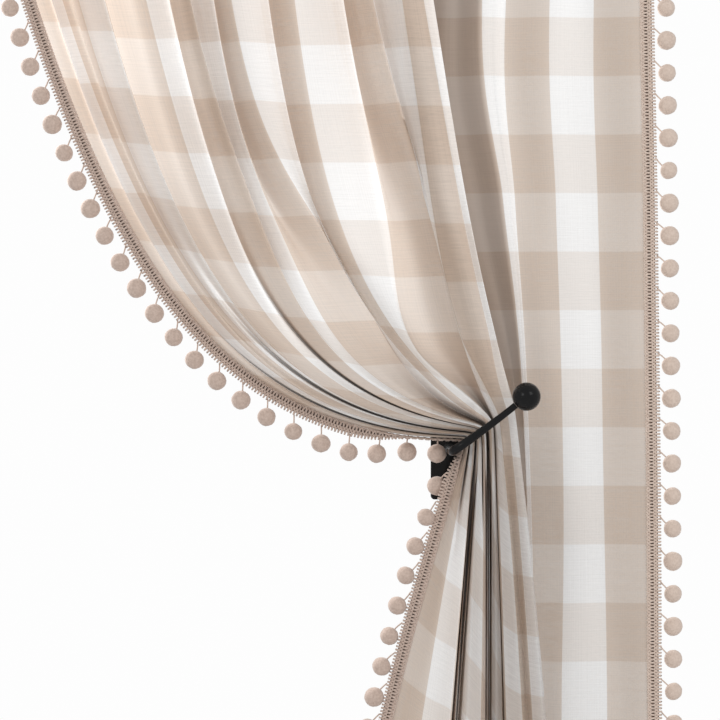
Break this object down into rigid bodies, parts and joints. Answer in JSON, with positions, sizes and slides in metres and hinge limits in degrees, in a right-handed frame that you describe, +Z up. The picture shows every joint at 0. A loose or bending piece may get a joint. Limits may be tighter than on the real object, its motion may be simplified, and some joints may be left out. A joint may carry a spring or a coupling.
{
  "type": "pair of semi-sheer check curtains with a ball-ended holdback",
  "caption": "Two semi-sheer check curtain panels, one swept into a ball-ended wall holdback, one straight, with pompom trim on the outer edges.",
  "frame": {"origin": "middle of the heading line at the curtains' top edge", "axes": "+X to the right along the wall as seen from the room, +Y towards the wall, +Z up"},
  "size_m": [0.904, 0.1667, 2.1471],
  "materials": {
    "check_cloth": "semi-sheer slub voile, beige and white buffalo check",
    "pompom_trim": "matt braid with fluffy pompoms, beige",
    "holdback_black": "gloss black paint"
  },
  "bodies": {
    "root": {"swept_panel": "check_cloth", "straight_panel": "check_cloth", "leading_trim": "pompom_trim", "outer_trim": "pompom_trim", "holdback_plate": "holdback_black", "holdback_arm": "holdback_black", "holdback_ball": "holdback_black"}
  },
  "joints": []
}
